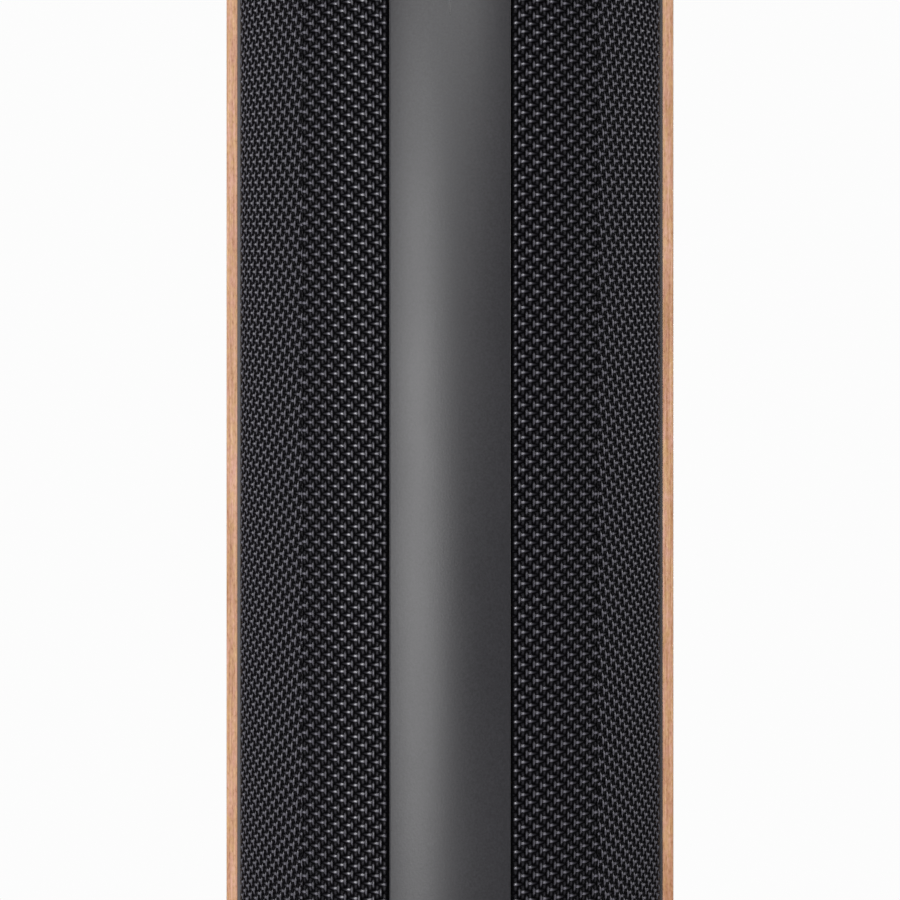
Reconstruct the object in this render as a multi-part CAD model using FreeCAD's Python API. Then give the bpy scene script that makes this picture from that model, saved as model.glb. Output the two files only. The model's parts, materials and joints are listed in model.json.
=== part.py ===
import FreeCAD, Part
import math
import os

os.makedirs("parts", exist_ok=True)

# Floorstanding speaker. Millimetres, +Z up, front towards -Y, origin on the floor under the middle of its box.

# Cabinet
HEIGHT = 1100.0
WIDTH = 260.0
DEPTH = 320.0
SKIN = 6.5                      # wooden side shell
WALL = 12.0                     # fibreboard behind the shell
BOARD = 15.0                    # baffles, braces and the spine beam
CORNER = 40.0                   # outer radius of the bent rear corners
ARRIS = 1.6                     # rounded outer front edge of the wooden shell
CAP = 12.0                      # top cap
END_BOARD = 18.0                # boards that close the cavity at both ends
BRACES_Z = (190.0, 400.0, 560.0, 985.0)
BRACE_WINDOW_X = (-75.0, 75.0)
BRACE_WINDOW_Y = (-45.0, 100.0)
BRACE_WINDOW_CORNER = 18.0
PLINTH_INSET = 10.0
PAD_X = (-84.0, 84.0)           # damping pad on the rear panel
PAD_Z = (600.0, 960.0)
PAD_THICK = 23.7
BASE_Z = 38.0                   # underside of the cabinet
PLINTH_Z = 18.0                 # underside of the plinth

# Curved front
FRONT_RADIUS = 135.0            # radius of the cloth and of the spine's face
SPINE_HALF = 32.75
SPINE_WALL = 2.5
LIGHT_HALF = 0.25               # half width of the status light's slot
LIGHT_Z = (785.0, 850.0)
LIGHT_STRIP_HALF = 4.0          # wider strip behind the slot
SHELL_FRONT_Y = -78.0
TRIM_INNER_X = 121.8
GRILLE_INNER_X = 33.6
GRILLE_OUTER_X = 121.5
CLOTH = 1.8
GRILLE_FRAME = 3.2
GRILLE_GAP_Z = 4.0
GRILLE_BACK_GAP = 0.6           # between the grille and the baffle's plane behind it
GRILLE_RIB = 3.0
FACET_ANGLE = 39.6              # how far each side baffle turns away from the front
FACET_DISTANCE = 110.0          # side baffle's front face, from the axis of the curved front

# Derived cabinet lines
HALF = WIDTH / 2
NOSE_Y = -DEPTH / 2
BACK_Y = DEPTH / 2
AXIS_Y = NOSE_Y + FRONT_RADIUS
SKIN_X = HALF - SKIN
WALL_X = SKIN_X - WALL
CORNER_X = HALF - CORNER
CORNER_Y = BACK_Y - CORNER
CAP_Z = HEIGHT - CAP
REAR_INNER_Y = BACK_Y - SKIN - WALL
REAR_OUTER_Y = BACK_Y - 3.0
FLOOR_Z = BASE_Z + END_BOARD
GRILLE_BOTTOM = BASE_Z + GRILLE_GAP_Z
GRILLE_TOP = CAP_Z - GRILLE_GAP_Z
SPINE_FACE_DISTANCE = 115.0     # front face of the spine beam, from the same axis
SPINE_FACE_Y = AXIS_Y - SPINE_FACE_DISTANCE

# Drivers: height above the floor, and sideways place on the side baffle
DRIVER_SIDE = 4.0
WOOFER_Z = {"lower": 690.0, "upper": 820.0}
TWEETER_Z = 920.0
WOOFER_HOLE = 44.0
WOOFER_FLANGE = 51.0
FLANGE_TOP = 4.0
WOOFER_SCREW_CIRCLE = 47.3
SURROUND_MIDDLE = 39.0
SURROUND_ROLL = 3.0
SURROUND_SHEET = 0.6
COIL_INNER = 11.2
COIL_OUTER = 11.7
TWEETER_HOLE = 27.0
TWEETER_FLANGE = 33.0
TWEETER_SCREW_CIRCLE = 29.5
SCREW = 1.5
SCREW_HEAD = 2.8
SCREW_HEAD_HEIGHT = 1.8

# Grille pegs and their cups
PEG_SIDES = (-36.0, 50.0)
PEG_Z = (70.0, 385.0, 615.0, 1050.0)
PEG = 3.95
CUP_BORE = 4.0
CUP = 6.5
CUP_DEPTH = 12.0
GRILLE_WINDOWS = ((90.0, 370.0), (400.0, 600.0), (630.0, 1030.0))

# Back of the cabinet
TERMINAL_Z = 120.0
POST_X = 9.5
POST = 3.5
BANANA = 2.0
BANANA_DEPTH = 18.0
RECESS_FLOOR_Y = 135.0          # floor of the recess that the terminals stand in
RECESS_WALL = 2.0
RECESS_HALF_X = 43.0            # outside of the recess
RECESS_HALF_Z = 28.0
RIM_HALF_X = 55.0               # terminal plate's rim
RIM_HALF_Z = 40.0
RIM = 1.2
REAR_SCREW_DEPTH = 12.0
TERMINAL_SCREWS_X = 49.0
TERMINAL_SCREWS_Z = 34.0
PORT_Z = 300.0
PORT_BORE = 25.0
PORT_WALL = 3.0
PORT_END_Y = 20.0
PORT_RIM = 38.0
PORT_SCREW_CIRCLE = 34.0

# Crossover on the bottom board: coils as x, y, radius; capacitors as x, y, radius, length
CROSSOVER_X = (-70.0, 70.0)
CROSSOVER_Y = (-40.0, 60.0)
CROSSOVER_LIFT = 6.0
CROSSOVER_BOARD = 1.6
COIL_HEIGHT = 18.0
COILS = ((-45.0, -12.0, 20.0), (42.0, -8.0, 24.0), (-42.0, 36.0, 16.0))
CAPACITORS = ((-6.0, -30.0, 9.0, 44.0), (16.0, 22.0, 7.0, 34.0), (38.0, 24.0, 7.0, 30.0))

# Feet
FOOT_PLACES = {
    "front_left": (-88.0, -70.0),
    "front_right": (88.0, -70.0),
    "rear_left": (-88.0, 112.0),
    "rear_right": (88.0, 112.0),
}
FOOT = 17.0
STUD = 3.95
INSERT_BORE = 4.0
INSERT = 6.5

SIDES = ("left", "right")


def point(x, y, z=0.0):
    return FreeCAD.Vector(x, y, z)


def save(name, shape):
    shape.exportStep("parts/" + name + ".step")
    print(name, shape.isValid(), len(shape.Solids), round(shape.Volume / 1000.0, 2), "cm3")


def group(shapes):
    return Part.makeCompound(shapes)


def path(steps):
    """Closed outline from a list of points; an arc's step is (via, end)."""
    edges = []
    here = steps[0]
    for step in steps[1:] + [steps[0]]:
        if isinstance(step, tuple):
            edges.append(Part.Arc(here, step[0], step[1]).toShape())
            here = step[1]
        elif (step - here).Length > 1e-6:
            edges.append(Part.LineSegment(here, step).toShape())
            here = step
    return Part.Face(Part.Wire(edges))


def slab(steps, bottom, top):
    face = path(steps)
    face.translate(point(0, 0, bottom))
    return face.extrude(point(0, 0, top - bottom))


def block(x_range, y_range, z_range):
    size = [high - low for low, high in (x_range, y_range, z_range)]
    return Part.makeBox(size[0], size[1], size[2], point(x_range[0], y_range[0], z_range[0]))


def spun(profile):
    """Solid of revolution about Z from (radius, height) points."""
    points = [point(r, 0, h) for r, h in profile]
    face = Part.Face(Part.makePolygon(points + [points[0]]))
    return face.revolve(point(0, 0, 0), point(0, 0, 1), 360)


def tube(inner, outer, bottom, top):
    return spun([(inner, bottom), (outer, bottom), (outer, top), (inner, top)])


def disc(radius, bottom, top):
    return Part.makeCylinder(radius, top - bottom, point(0, 0, bottom))


def mirrored(shape, side):
    return shape if side == "right" else shape.mirror(point(0, 0, 0), point(1, 0, 0))


def on_facet(shape, side_offset, height):
    """Moves a shape drawn about Z (outward) onto the right side baffle."""
    turn = math.radians(FACET_ANGLE)
    outward = point(math.sin(turn), -math.cos(turn))
    along = point(math.cos(turn), math.sin(turn))
    origin = point(0, AXIS_Y, height) + outward * FACET_DISTANCE + along * side_offset
    matrix = FreeCAD.Matrix(
        along.x, 0, outward.x, origin.x,
        along.y, 0, outward.y, origin.y,
        0, 1, 0, origin.z,
        0, 0, 0, 1,
    )
    placed = shape.copy()
    placed.Placement = FreeCAD.Placement(matrix).multiply(placed.Placement)
    return placed


def pointing_back(shape, x, y, z):
    """Moves a shape drawn about Z so that its axis points to the rear, along +Y."""
    placed = shape.copy()
    turn = FreeCAD.Placement(point(x, y, z), FreeCAD.Rotation(point(1, 0, 0), -90))
    placed.Placement = turn.multiply(placed.Placement)
    return placed


def facet_y(x, distance=FACET_DISTANCE):
    """Y of the right side baffle's front face, or of a face parallel to it, at x."""
    turn = math.radians(FACET_ANGLE)
    return AXIS_Y - (distance - x * math.sin(turn)) / math.cos(turn)


def mitre_x(depth):
    """X where the spine beam meets the right side baffle, this deep behind their front faces."""
    turn = math.radians(FACET_ANGLE)
    return (FACET_DISTANCE - depth - (SPINE_FACE_DISTANCE - depth) * math.cos(turn)) / math.sin(turn)


def front_y(x, radius=FRONT_RADIUS):
    return AXIS_Y - math.sqrt(radius * radius - x * x)


def front_band(inner, outer, first, last, bottom, top):
    """Part of a round wall about the front's axis, between two angles in degrees from straight ahead."""
    def at(radius, angle):
        turn = math.radians(angle)
        return point(radius * math.sin(turn), AXIS_Y - radius * math.cos(turn))

    middle = (first + last) / 2
    steps = [
        at(outer, first),
        (at(outer, middle), at(outer, last)),
        at(inner, last),
        (at(inner, middle), at(inner, first)),
    ]
    return slab(steps, bottom, top)


def corner_arc(radius, sign, reverse=False):
    """Round rear corner about the common centre, from the side to the back."""
    half_turn = radius * math.sqrt(0.5)
    middle = point(sign * (CORNER_X + half_turn), CORNER_Y + half_turn)
    side = point(sign * (CORNER_X + radius), CORNER_Y)
    back = point(sign * CORNER_X, CORNER_Y + radius)
    return (middle, side) if reverse else (middle, back)


def screw(shank_bottom, head_bottom):
    top = head_bottom + SCREW_HEAD_HEIGHT
    head = disc(SCREW_HEAD, head_bottom, top)
    recess = block((-0.5, 0.5), (-2.0, 2.0), (top - 0.9, top + 1.0))
    return head.cut(recess).fuse(disc(SCREW, shank_bottom, head_bottom)).removeSplitter()


def around(radius, count, start):
    """Places of screws on a circle."""
    turns = [math.radians(start + 360.0 * i / count) for i in range(count)]
    return [(radius * math.cos(turn), radius * math.sin(turn)) for turn in turns]


# Cabinet

def side_panel():
    steps = [
        point(SKIN_X, SHELL_FRONT_Y),
        point(HALF - ARRIS, SHELL_FRONT_Y),
        (
            point(HALF - ARRIS * (1 - math.sqrt(0.5)), SHELL_FRONT_Y + ARRIS * (1 - math.sqrt(0.5))),
            point(HALF, SHELL_FRONT_Y + ARRIS),
        ),
        point(HALF, CORNER_Y),
        corner_arc(CORNER, 1),
        point(CORNER_X, BACK_Y - SKIN),
        corner_arc(CORNER - SKIN, 1, reverse=True),
    ]
    return slab(steps, BASE_Z, HEIGHT)


def inner_wall():
    depth = FACET_DISTANCE - BOARD
    steps = [
        point(WALL_X, facet_y(WALL_X, depth)),
        point(SKIN_X, facet_y(SKIN_X, depth)),
        point(SKIN_X, CORNER_Y),
        corner_arc(CORNER - SKIN, 1),
        point(CORNER_X, REAR_INNER_Y),
        corner_arc(CORNER - SKIN - WALL, 1, reverse=True),
    ]
    return slab(steps, BASE_Z, CAP_Z)


def cavity(bottom, top):
    """The space inside the baffles, inner walls and rear panel."""
    depth = FACET_DISTANCE - BOARD
    radius = CORNER - SKIN - WALL
    steps = [
        point(-mitre_x(BOARD), SPINE_FACE_Y + BOARD),
        point(mitre_x(BOARD), SPINE_FACE_Y + BOARD),
        point(WALL_X, facet_y(WALL_X, depth)),
        point(WALL_X, CORNER_Y),
        corner_arc(radius, 1),
        point(-CORNER_X, REAR_INNER_Y),
        corner_arc(radius, -1, reverse=True),
        point(-WALL_X, facet_y(WALL_X, depth)),
    ]
    return slab(steps, bottom, top)


def baffle():
    depth = FACET_DISTANCE - BOARD
    steps = [
        point(mitre_x(0), SPINE_FACE_Y),
        point(SKIN_X, facet_y(SKIN_X)),
        point(SKIN_X, facet_y(SKIN_X, depth)),
        point(mitre_x(BOARD), SPINE_FACE_Y + BOARD),
    ]
    board = slab(steps, BASE_Z, CAP_Z)
    cuts = []
    for height in WOOFER_Z.values():
        cuts.append(on_facet(disc(WOOFER_HOLE, -30, 30), DRIVER_SIDE, height))
        for x, y in around(WOOFER_SCREW_CIRCLE, 4, 45):
            cuts.append(on_facet(disc(SCREW, -10, 30), DRIVER_SIDE + x, height + y))
    cuts.append(on_facet(disc(TWEETER_HOLE, -30, 30), DRIVER_SIDE, TWEETER_Z))
    for x, y in around(TWEETER_SCREW_CIRCLE, 4, 45):
        cuts.append(on_facet(disc(SCREW, -10, 30), DRIVER_SIDE + x, TWEETER_Z + y))
    for height in PEG_Z:
        for side_offset in PEG_SIDES:
            cuts.append(on_facet(disc(CUP, -CUP_DEPTH, 30), side_offset, height))
    return board.cut(group(cuts))


def spine_beam():
    steps = [
        point(-mitre_x(0), SPINE_FACE_Y),
        point(mitre_x(0), SPINE_FACE_Y),
        point(mitre_x(BOARD), SPINE_FACE_Y + BOARD),
        point(-mitre_x(BOARD), SPINE_FACE_Y + BOARD),
    ]
    return slab(steps, BASE_Z, CAP_Z)


def spine_cover():
    inner = FRONT_RADIUS - SPINE_WALL
    inner_x = SPINE_HALF - SPINE_WALL
    steps = [
        point(-SPINE_HALF, SPINE_FACE_Y),
        point(-SPINE_HALF, front_y(SPINE_HALF)),
        (point(0, NOSE_Y), point(SPINE_HALF, front_y(SPINE_HALF))),
        point(SPINE_HALF, SPINE_FACE_Y),
        point(inner_x, SPINE_FACE_Y),
        point(inner_x, front_y(inner_x, inner)),
        (point(0, NOSE_Y + SPINE_WALL), point(-inner_x, front_y(inner_x, inner))),
        point(-inner_x, SPINE_FACE_Y),
    ]
    shell = slab(steps, GRILLE_BOTTOM - 2.0, GRILLE_TOP + 2.0)
    slot = block((-LIGHT_HALF, LIGHT_HALF), (NOSE_Y - 1, NOSE_Y + SPINE_WALL + 1), LIGHT_Z)
    return shell.cut(slot)


def status_light():
    """Light guide: a thin blade in the spine's slot on a wider strip behind it."""
    blade = block((-LIGHT_HALF, LIGHT_HALF), (NOSE_Y + 0.6, NOSE_Y + SPINE_WALL + 0.1), LIGHT_Z)
    strip_y = (NOSE_Y + SPINE_WALL + 0.05, NOSE_Y + SPINE_WALL + 3.0)
    strip = block((-LIGHT_STRIP_HALF, LIGHT_STRIP_HALF), strip_y, (LIGHT_Z[0] - 5, LIGHT_Z[1] + 5))
    return strip.fuse(blade).removeSplitter()


def window_braces():
    braces = []
    for bottom in BRACES_Z:
        board = cavity(bottom, bottom + BOARD)
        window = block(BRACE_WINDOW_X, BRACE_WINDOW_Y, (bottom - 1, bottom + BOARD + 1))
        upright = [edge for edge in window.Edges if abs(edge.tangentAt(edge.FirstParameter).z) > 0.9]
        window = window.makeFillet(BRACE_WINDOW_CORNER, upright)
        braces.append(board.cut(window))
    return group(braces)


def recess_block(y_range, wall):
    """The terminal plate's recess as a block, this far inside its outside faces."""
    half_x = RECESS_HALF_X - wall
    half_z = RECESS_HALF_Z - wall
    return block((-half_x, half_x), y_range, (TERMINAL_Z - half_z, TERMINAL_Z + half_z))


def rear_panel():
    panel = block((-CORNER_X, CORNER_X), (REAR_INNER_Y, REAR_OUTER_Y), (BASE_Z, CAP_Z))
    port = pointing_back(disc(PORT_BORE + PORT_WALL, -40, 20), 0, REAR_OUTER_Y, PORT_Z)
    recess = recess_block((REAR_INNER_Y - 20.0, BACK_Y + 10.0), 0)
    return panel.cut(port).cut(recess).cut(group(rear_screw_shanks()))


def terminal_screw_places():
    places = []
    for x in (-TERMINAL_SCREWS_X, TERMINAL_SCREWS_X):
        for z in (-TERMINAL_SCREWS_Z, TERMINAL_SCREWS_Z):
            places.append((x, TERMINAL_Z + z))
    return places


def port_screw_places():
    return [(x, PORT_Z + z) for x, z in around(PORT_SCREW_CIRCLE, 4, 45)]


def rear_screw_shanks():
    places = terminal_screw_places() + port_screw_places()
    return [pointing_back(disc(SCREW, -REAR_SCREW_DEPTH, 6), x, REAR_OUTER_Y, z) for x, z in places]


def rear_screws():
    places = terminal_screw_places() + port_screw_places()
    one = screw(-REAR_SCREW_DEPTH, RIM)
    return group([pointing_back(one, x, REAR_OUTER_Y, z) for x, z in places])


def top_cap():
    radius = CORNER - SKIN
    steps = [
        point(-SKIN_X, front_y(SKIN_X)),
        (point(0, NOSE_Y), point(SKIN_X, front_y(SKIN_X))),
        point(SKIN_X, CORNER_Y),
        corner_arc(radius, 1),
        point(-CORNER_X, CORNER_Y + radius),
        corner_arc(radius, -1, reverse=True),
    ]
    return slab(steps, CAP_Z, HEIGHT)


def plinth():
    radius = FRONT_RADIUS - PLINTH_INSET
    half = SKIN_X - PLINTH_INSET
    back = BACK_Y - PLINTH_INSET
    steps = [
        point(-half, front_y(half, radius)),
        (point(0, NOSE_Y + PLINTH_INSET), point(half, front_y(half, radius))),
        point(half, back - CORNER),
        point(half - CORNER, back),
        point(-half + CORNER, back),
        point(-half, back - CORNER),
    ]
    base = slab(steps, PLINTH_Z, BASE_Z)
    holes = [disc(INSERT, 0, BASE_Z) for _ in FOOT_PLACES]
    for hole, (x, y) in zip(holes, FOOT_PLACES.values()):
        hole.translate(point(x, y, 0))
    return base.cut(group(holes))


def edge_trim():
    return block((TRIM_INNER_X, SKIN_X), (SHELL_FRONT_Y, facet_y(TRIM_INNER_X) - 0.2), (BASE_Z, CAP_Z))


def damping_pad():
    back = REAR_INNER_Y - 0.3
    return block(PAD_X, (back - PAD_THICK, back), PAD_Z)


# Removable grilles

def grille_space():
    """Everything the right grille may fill, as a block between the spine and the edge trim."""
    y_range = (NOSE_Y, SHELL_FRONT_Y - GRILLE_BACK_GAP)
    return block((GRILLE_INNER_X, GRILLE_OUTER_X), y_range, (GRILLE_BOTTOM, GRILLE_TOP))


def grille_frame():
    outer = FRONT_RADIUS - CLOTH
    inner = outer - GRILLE_FRAME
    band = front_band(inner, outer, 12.0, 68.0, GRILLE_BOTTOM, GRILLE_TOP)
    windows = [front_band(inner - 5, outer + 5, 20.0, 58.0, low, high) for low, high in GRILLE_WINDOWS]
    band = band.cut(group(windows)).common(grille_space())
    ring = front_band(FACET_DISTANCE - 10, outer, 12.0, 68.0, GRILLE_BOTTOM, GRILLE_TOP)
    ring = ring.common(grille_space())
    rib_back = FACET_DISTANCE + FLANGE_TOP + 0.8
    clear_of_drivers = slab(
        [
            point(GRILLE_INNER_X - 5, facet_y(GRILLE_INNER_X - 5, rib_back)),
            point(HALF, facet_y(HALF, rib_back)),
            point(HALF, NOSE_Y),
            point(GRILLE_INNER_X - 5, NOSE_Y),
        ],
        GRILLE_BOTTOM,
        GRILLE_TOP,
    )
    inner_rib = block((GRILLE_INNER_X, GRILLE_INNER_X + GRILLE_RIB), (NOSE_Y, -100.0), (GRILLE_BOTTOM, GRILLE_TOP))
    outer_rib = block((GRILLE_OUTER_X - GRILLE_RIB, GRILLE_OUTER_X), (NOSE_Y, -70.0), (GRILLE_BOTTOM, GRILLE_TOP))
    ribs = ring.common(inner_rib.fuse(outer_rib)).common(clear_of_drivers)
    return band.fuse(ribs).removeSplitter()


def grille_cloth():
    band = front_band(FRONT_RADIUS - CLOTH, FRONT_RADIUS, 12.0, 68.0, GRILLE_BOTTOM, GRILLE_TOP)
    return band.common(grille_space())


def grille_pegs():
    behind_frame = Part.makeCylinder(
        FRONT_RADIUS - CLOTH - GRILLE_FRAME, HEIGHT, point(0, AXIS_Y, 0)
    )
    pegs = []
    for height in PEG_Z:
        for side_offset in PEG_SIDES:
            peg = on_facet(disc(PEG, 1.5 - CUP_DEPTH, 40), side_offset, height)
            pegs.append(peg.common(behind_frame))
    return group(pegs)


def grille_sockets(side):
    cup = tube(CUP_BORE, CUP, 1.0 - CUP_DEPTH, 0).fuse(disc(CUP, -CUP_DEPTH, 1.0 - CUP_DEPTH))
    cups = []
    for height in PEG_Z:
        for side_offset in PEG_SIDES:
            cups.append(mirrored(on_facet(cup, side_offset, height), side))
    return cups


# Bass-mid drivers, drawn about Z with the baffle's face at height 0

def woofer_basket():
    profile = [
        (WOOFER_FLANGE, 0.0),
        (WOOFER_FLANGE, FLANGE_TOP),
        (41.5, FLANGE_TOP),
        (41.5, -6.5),
        (27.2, -33.0),
        (14.0, -33.0),
        (14.0, -35.0),
        (28.5, -35.0),
        (43.8, -6.0),
        (43.8, 0.0),
    ]
    basket = spun(profile)
    cuts = []
    for turn in (0, 90, 180, 270):
        gap = block((17.0, 60.0), (-14.0, 14.0), (-31.0, -7.5))
        gap.rotate(point(0, 0, 0), point(0, 0, 1), turn)
        cuts.append(gap)
    for x, y in around(WOOFER_SCREW_CIRCLE, 4, 45):
        hole = disc(SCREW + 0.3, -1, 5)
        hole.translate(point(x, y))
        cuts.append(hole)
    return basket.cut(group(cuts))


def woofer_cone():
    sheet = 0.8
    profile = [
        (35.8, FLANGE_TOP),
        (35.8, FLANGE_TOP - sheet),
        (33.6, FLANGE_TOP - sheet),
        (12.6, -14.8),
        (COIL_OUTER, -14.8),
        (COIL_OUTER, -42.0),
        (COIL_INNER, -42.0),
        (COIL_INNER, -14.0),
        (12.4, -14.0),
        (33.0, FLANGE_TOP),
    ]
    cone = spun(profile)
    radius = 24.0
    drop = math.sqrt(radius * radius - 14.0 * 14.0)
    outer = Part.makeSphere(radius, point(0, 0, -12.4 - drop))
    inner = Part.makeSphere(radius - sheet, point(0, 0, -12.4 - drop))
    dust_cap = outer.cut(inner).common(disc(14.2, -12.6, 10))
    return cone.fuse(dust_cap.cut(cone)).removeSplitter()


def woofer_surround():
    outer = SURROUND_ROLL + SURROUND_SHEET
    base = FLANGE_TOP
    left, right = SURROUND_MIDDLE - outer, SURROUND_MIDDLE + outer

    def up(r, h):
        return point(r, 0, h)

    edges = []
    spots = [
        up(left - 1.9, base),
        up(SURROUND_MIDDLE - SURROUND_ROLL, base),
        up(SURROUND_MIDDLE + SURROUND_ROLL, base),
        up(right + 1.4, base),
        up(right + 1.4, base + SURROUND_SHEET),
        up(right, base + SURROUND_SHEET),
        up(left, base + SURROUND_SHEET),
        up(left - 1.9, base + SURROUND_SHEET),
    ]
    edges.append(Part.LineSegment(spots[0], spots[1]).toShape())
    edges.append(Part.Arc(spots[1], up(SURROUND_MIDDLE, base + SURROUND_ROLL), spots[2]).toShape())
    edges.append(Part.LineSegment(spots[2], spots[3]).toShape())
    edges.append(Part.LineSegment(spots[3], spots[4]).toShape())
    edges.append(Part.LineSegment(spots[4], spots[5]).toShape())
    edges.append(Part.Arc(spots[5], up(SURROUND_MIDDLE, base + outer), spots[6]).toShape())
    edges.append(Part.LineSegment(spots[6], spots[7]).toShape())
    edges.append(Part.LineSegment(spots[7], spots[0]).toShape())
    return Part.Face(Part.Wire(edges)).revolve(point(0, 0, 0), point(0, 0, 1), 360)


def woofer_spider():
    """Stepped ring that centres the voice coil: low and high rings joined by short steps."""
    sheet = 0.6
    low = -24.0
    crests = [COIL_OUTER + 0.1, 15.0, 18.0, 21.0, 24.0]
    top = []
    for i, r in enumerate(crests):
        top.append((r, low + (1.6 if i % 2 else 0.0)))
    under = [(r, h - sheet) for r, h in reversed(top)]
    return spun(top + under)


def woofer_magnet():
    return tube(16.0, 30.0, -52.0, -39.0)


def woofer_yoke():
    front_plate = tube(12.6, 27.0, -39.0, -35.0)
    back = disc(29.0, -56.0, -52.0).fuse(disc(10.4, -52.0, -34.5)).removeSplitter()
    return [front_plate, back]


# Tweeters

def tweeter_plate():
    profile = [
        (TWEETER_FLANGE, 0.0),
        (TWEETER_FLANGE, 3.5),
        (23.0, 3.5),
        (13.6, 1.4),
        (13.6, 0.0),
    ]
    plate = spun(profile)
    holes = []
    for x, y in around(TWEETER_SCREW_CIRCLE, 4, 45):
        hole = disc(SCREW + 0.3, -1, 5)
        hole.translate(point(x, y))
        holes.append(hole)
    return plate.cut(group(holes))


def tweeter_dome():
    base, radius, sheet = 12.5, 14.5, 0.5
    middle = 1.0 - math.sqrt(radius * radius - base * base)
    shell = Part.makeSphere(radius, point(0, 0, middle)).cut(Part.makeSphere(radius - sheet, point(0, 0, middle)))
    former = tube(12.0, base, -6.0, 1.2)
    return shell.common(disc(base, 1.0, 12)).fuse(former).removeSplitter()


def tweeter_motor():
    body = disc(26.0, -24.0, 0)
    return body.cut(tube(11.3, 13.2, -9.0, 1.0))


def driver_screws(side):
    screws = []
    for height in WOOFER_Z.values():
        for x, y in around(WOOFER_SCREW_CIRCLE, 4, 45):
            screws.append(on_facet(screw(-10, FLANGE_TOP), DRIVER_SIDE + x, height + y))
    for x, y in around(TWEETER_SCREW_CIRCLE, 4, 45):
        screws.append(on_facet(screw(-10, 3.5), DRIVER_SIDE + x, TWEETER_Z + y))
    return [mirrored(one, side) for one in screws]


# Back of the cabinet

def terminal_plate():
    rim_z = (TERMINAL_Z - RIM_HALF_Z, TERMINAL_Z + RIM_HALF_Z)
    rim = block((-RIM_HALF_X, RIM_HALF_X), (REAR_OUTER_Y, REAR_OUTER_Y + RIM), rim_z)
    body = recess_block((RECESS_FLOOR_Y - RECESS_WALL, REAR_OUTER_Y + 0.5), 0)
    hollow = recess_block((RECESS_FLOOR_Y, BACK_Y + 5.0), RECESS_WALL)
    plate = rim.fuse(body).removeSplitter().cut(hollow)
    holes = [pointing_back(disc(POST, -10, 10), x, RECESS_FLOOR_Y, TERMINAL_Z) for x in (-POST_X, POST_X)]
    for x, z in terminal_screw_places():
        holes.append(pointing_back(disc(SCREW, -5, 5), x, REAR_OUTER_Y, z))
    return plate.cut(group(holes))


def binding_post():
    """Along +Y from the cup's floor: threaded tube with a socket in its end, a collar and an inner nut."""
    stem = disc(POST, -17.0, 20.0)
    collar = disc(7.5, 0.0, 4.0)
    nut = Part.Face(Part.makePolygon([point(x, y) for x, y in around(6.5, 6, 0) + around(6.5, 1, 0)]))
    nut = nut.extrude(point(0, 0, 4.0))
    nut.translate(point(0, 0, -RECESS_WALL - 4.0))
    socket = disc(BANANA, 20.0 - BANANA_DEPTH, 21.0)
    return stem.fuse([collar, nut]).removeSplitter().cut(socket)


def terminal_cap():
    cap = tube(POST + 0.05, 7.6, 6.0, 19.4)
    grooves = []
    for x, y in around(8.0, 16, 0):
        groove = disc(0.8, 7.5, 18.0)
        groove.translate(point(x, y))
        grooves.append(groove)
    return cap.cut(group(grooves))


def port_tube():
    pipe = PORT_BORE + PORT_WALL
    face = 2.0
    profile = [
        (PORT_BORE, PORT_END_Y - REAR_OUTER_Y),
        (pipe, PORT_END_Y - REAR_OUTER_Y),
        (pipe, 0.0),
        (PORT_RIM, 0.0),
        (PORT_RIM, RIM),
        (PORT_BORE + 6.5, face),
        (PORT_BORE + 3.0, 0.8),
        (PORT_BORE + 1.0, -2.5),
        (PORT_BORE, -8.0),
    ]
    flared = spun(profile)
    hole = disc(SCREW, -5, 5).fuse(disc(SCREW_HEAD + 0.2, RIM, 6))
    holes = []
    for x, y in around(PORT_SCREW_CIRCLE, 4, 45):
        one = hole.copy()
        one.translate(point(x, y))
        holes.append(one)
    return pointing_back(flared.cut(group(holes)), 0, REAR_OUTER_Y, PORT_Z)


# Crossover, on the bottom board

def crossover_board():
    under = FLOOR_Z + CROSSOVER_LIFT
    board = block(CROSSOVER_X, CROSSOVER_Y, (under, under + CROSSOVER_BOARD))
    inset = 8.0
    posts = []
    for x in (CROSSOVER_X[0] + inset, CROSSOVER_X[1] - inset):
        for y in (CROSSOVER_Y[0] + inset, CROSSOVER_Y[1] - inset):
            post = disc(4.0, FLOOR_Z, under)
            post.translate(point(x, y))
            posts.append(post)
    return board.fuse(posts)


def crossover_parts():
    """Air-cored coils standing on the board, and capacitors lying on it."""
    top = FLOOR_Z + CROSSOVER_LIFT + CROSSOVER_BOARD
    shapes = []
    for x, y, radius in COILS:
        coil = tube(radius * 0.45, radius, top, top + COIL_HEIGHT)
        coil.translate(point(x, y))
        shapes.append(coil)
    for x, y, radius, length in CAPACITORS:
        shapes.append(pointing_back(disc(radius, 0, length), x, y, top + radius))
    return group(shapes)


# Feet

def foot():
    pad = spun([(0, 0), (FOOT - 2, 0), (FOOT, 2), (FOOT, 6), (FOOT - 3, 9), (0, 9)])
    wheel = disc(12.0, 9.0, 15.0)
    stud = disc(STUD, 15.0, 36.0)
    notches = []
    for x, y in around(12.4, 12, 0):
        notch = disc(1.2, 9.0, 15.0)
        notch.translate(point(x, y))
        notches.append(notch)
    return pad.fuse([wheel.cut(group(notches)), stud]).removeSplitter()


def foot_inserts():
    inserts = []
    for x, y in FOOT_PLACES.values():
        insert = tube(INSERT_BORE, INSERT, PLINTH_Z, BASE_Z)
        insert.translate(point(x, y))
        inserts.append(insert)
    return group(inserts)


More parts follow.
